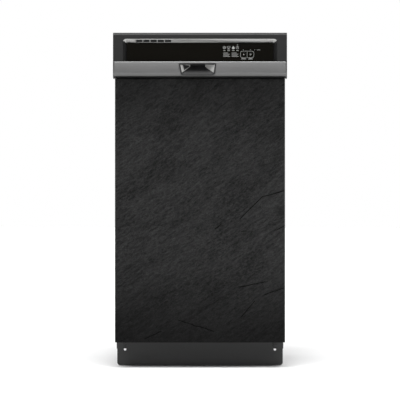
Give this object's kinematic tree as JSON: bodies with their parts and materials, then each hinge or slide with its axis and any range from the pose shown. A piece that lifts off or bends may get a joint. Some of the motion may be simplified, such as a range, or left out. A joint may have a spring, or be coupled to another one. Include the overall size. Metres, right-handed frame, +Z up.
{
  "type": "built-in dishwasher",
  "caption": "Slim built-in dishwasher with a drop-down slate-faced door, a recessed dark control panel with a grip pocket, a recessed toe kick and two wire racks inside.",
  "frame": {"origin": "on the floor, under the middle of the machine's plan rectangle", "axes": "+Z up, +X to the right as seen from the front, and the door faces -Y"},
  "size_m": [0.448, 0.57, 0.865],
  "materials": {
    "dark_steel": "dark grey brushed sheet look, satin",
    "slate": "natural cleft slate, matt",
    "gloss_black": "black gloss acrylic",
    "black_plastic": "moulded, matt black",
    "toe_black": "black satin paint on sheet",
    "stainless": "plain stainless sheet",
    "galvanised": "bare galvanised sheet, dull",
    "grey_plastic": "moulded, satin grey",
    "coated_wire": "steel wire with a smooth grey nylon coat",
    "rubber": "extruded EPDM, matt",
    "circuit_green": "circuit board, satin"
  },
  "bodies": {
    "cabinet": {"base_tray": "black_plastic", "side_panel_left": "galvanised", "side_panel_right": "galvanised", "back_panel": "galvanised", "top_panel": "galvanised", "tub": "stainless", "door_gasket": "rubber", "sump": "grey_plastic", "filter_plate": "stainless", "circulation_pump": "black_plastic", "drain_pump": "black_plastic", "water_softener": "grey_plastic", "inlet_valve": "grey_plastic", "power_inlet": "rubber", "spray_feed_pipe": "grey_plastic", "rail_left": "stainless", "rail_right": "stainless", "hinge_frame": "galvanised", "door_spring_left": "galvanised", "door_spring_right": "galvanised", "latch_striker": "galvanised", "toe_kick": "toe_black", "toe_kick_screw_left": "stainless", "toe_kick_screw_right": "stainless"},
    "door": {"control_panel": "dark_steel", "panel_insert": "gloss_black", "handle_cup": "black_plastic", "door_latch": "black_plastic", "control_board": "circuit_green", "decor_panel": "slate", "door_outer_panel": "galvanised", "door_liner": "stainless", "dispenser_body": "grey_plastic", "hinge_arm_left": "galvanised", "hinge_arm_right": "galvanised"},
    "latch_lever": {"latch_lever": "black_plastic"},
    "button_start": {"button_start": "gloss_black"},
    "button_power": {"button_power": "gloss_black"},
    "dispenser_lid": {"dispenser_lid": "grey_plastic"},
    "rinse_aid_cap": {"rinse_aid_cap": "grey_plastic"},
    "filter_cylinder": {"filter_cylinder": "grey_plastic"},
    "salt_cap": {"salt_cap": "grey_plastic"},
    "foot_front_left": {"foot_front_left": "black_plastic"},
    "foot_front_right": {"foot_front_right": "black_plastic"},
    "foot_rear_left": {"foot_rear_left": "black_plastic"},
    "foot_rear_right": {"foot_rear_right": "black_plastic"},
    "lower_rack": {"lower_rack": "coated_wire"},
    "rack_wheel_front_left": {"rack_wheel_front_left": "grey_plastic"},
    "rack_wheel_front_right": {"rack_wheel_front_right": "grey_plastic"},
    "rack_wheel_rear_left": {"rack_wheel_rear_left": "grey_plastic"},
    "rack_wheel_rear_right": {"rack_wheel_rear_right": "grey_plastic"},
    "cutlery_basket": {"cutlery_basket": "grey_plastic"},
    "fold_down_tines": {"fold_down_tines": "coated_wire"},
    "lower_spray_arm": {"lower_spray_arm": "grey_plastic"},
    "upper_rack": {"upper_rack": "coated_wire", "upper_spray_duct": "grey_plastic", "runner_left": "grey_plastic", "runner_right": "grey_plastic"},
    "upper_spray_arm": {"upper_spray_arm": "grey_plastic"},
    "cup_shelf": {"cup_shelf": "coated_wire"}
  },
  "joints": [
    {"name": "door_hinge", "type": "hinge", "parent": "cabinet", "child": "door", "pos_m": [0, -0.248, 0.128], "axis": [1, 0, 0], "range_deg": [0, 90]},
    {"name": "latch_lever_hinge", "type": "hinge", "parent": "door", "child": "latch_lever", "pos_m": [-0.006, -0.2474, 0.8041], "axis": [-1, 0, 0], "range_deg": [0, 15], "stiffness_Nm_per_rad": 0.02, "springref_deg": -28.65},
    {"name": "button_start_press", "type": "slide", "parent": "door", "child": "button_start", "axis": [0, 1, 0], "range_m": [0, 0.0015], "stiffness_N_per_m": 400, "springref_m": -0.0015},
    {"name": "button_power_press", "type": "slide", "parent": "door", "child": "button_power", "axis": [0, 1, 0], "range_m": [0, 0.0015], "stiffness_N_per_m": 400, "springref_m": -0.0015},
    {"name": "dispenser_lid_slide", "type": "slide", "parent": "door", "child": "dispenser_lid", "axis": [0, 0, 1], "range_m": [0, 0.045]},
    {"name": "rinse_aid_cap_turn", "type": "hinge", "parent": "door", "child": "rinse_aid_cap", "pos_m": [0.043, -0.2332, 0.44], "axis": [0, 1, 0], "range_deg": [0, 90]},
    {"name": "filter_lock", "type": "hinge", "parent": "cabinet", "child": "filter_cylinder", "pos_m": [0, -0.012, 0.0794], "axis": [0, 0, 1], "range_deg": [0, 90]},
    {"name": "salt_cap_thread", "type": "hinge", "parent": "cabinet", "child": "salt_cap", "pos_m": [-0.066, 0.13, 0.1252], "axis": [0, 0, 1], "range_deg": [0, 270]},
    {"name": "foot_front_left_thread", "type": "slide", "parent": "cabinet", "child": "foot_front_left", "axis": [0, 0, -1], "range_m": [0, 0.03]},
    {"name": "foot_front_right_thread", "type": "slide", "parent": "cabinet", "child": "foot_front_right", "axis": [0, 0, -1], "range_m": [0, 0.03]},
    {"name": "foot_rear_left_thread", "type": "slide", "parent": "cabinet", "child": "foot_rear_left", "axis": [0, 0, -1], "range_m": [0, 0.03]},
    {"name": "foot_rear_right_thread", "type": "slide", "parent": "cabinet", "child": "foot_rear_right", "axis": [0, 0, -1], "range_m": [0, 0.03]},
    {"name": "lower_rack_slide", "type": "slide", "parent": "cabinet", "child": "lower_rack", "axis": [0, -1, 0], "range_m": [0, 0.1]},
    {"name": "upper_rack_slide", "type": "slide", "parent": "cabinet", "child": "upper_rack", "axis": [0, -1, 0], "range_m": [0, 0.38]},
    {"name": "rack_wheel_front_left_axle", "type": "hinge", "parent": "lower_rack", "child": "rack_wheel_front_left", "pos_m": [-0.1715, -0.155, 0.1572], "axis": [1, 0, 0], "continuous": true},
    {"name": "rack_wheel_front_right_axle", "type": "hinge", "parent": "lower_rack", "child": "rack_wheel_front_right", "pos_m": [0.1715, -0.155, 0.1572], "axis": [1, 0, 0], "continuous": true},
    {"name": "rack_wheel_rear_left_axle", "type": "hinge", "parent": "lower_rack", "child": "rack_wheel_rear_left", "pos_m": [-0.1715, 0.172, 0.1572], "axis": [1, 0, 0], "continuous": true},
    {"name": "rack_wheel_rear_right_axle", "type": "hinge", "parent": "lower_rack", "child": "rack_wheel_rear_right", "pos_m": [0.1715, 0.172, 0.1572], "axis": [1, 0, 0], "continuous": true},
    {"name": "cutlery_basket_lift", "type": "slide", "parent": "lower_rack", "child": "cutlery_basket", "axis": [0, 0, 1], "range_m": [0, 0.1]},
    {"name": "fold_down_tines_hinge", "type": "hinge", "parent": "lower_rack", "child": "fold_down_tines", "pos_m": [-0.05, 0, 0.19892], "axis": [0, 1, 0], "range_deg": [0, 90]},
    {"name": "lower_spray_arm_spin", "type": "hinge", "parent": "cabinet", "child": "lower_spray_arm", "pos_m": [0, 0.035, 0.1653], "axis": [0, 0, 1], "continuous": true},
    {"name": "upper_spray_arm_spin", "type": "hinge", "parent": "upper_rack", "child": "upper_spray_arm", "pos_m": [0, 0.035, 0.4616], "axis": [0, 0, 1], "continuous": true},
    {"name": "cup_shelf_hinge", "type": "hinge", "parent": "upper_rack", "child": "cup_shelf", "pos_m": [-0.152, 0, 0.582], "axis": [0, -1, 0], "range_deg": [0, 85]}
  ],
  "couplings": [
    {"joint": "lower_rack_slide", "follows": "door_hinge", "m_per_rad": 0.0636},
    {"joint": "upper_rack_slide", "follows": "door_hinge", "m_per_rad": 0.2419}
  ]
}
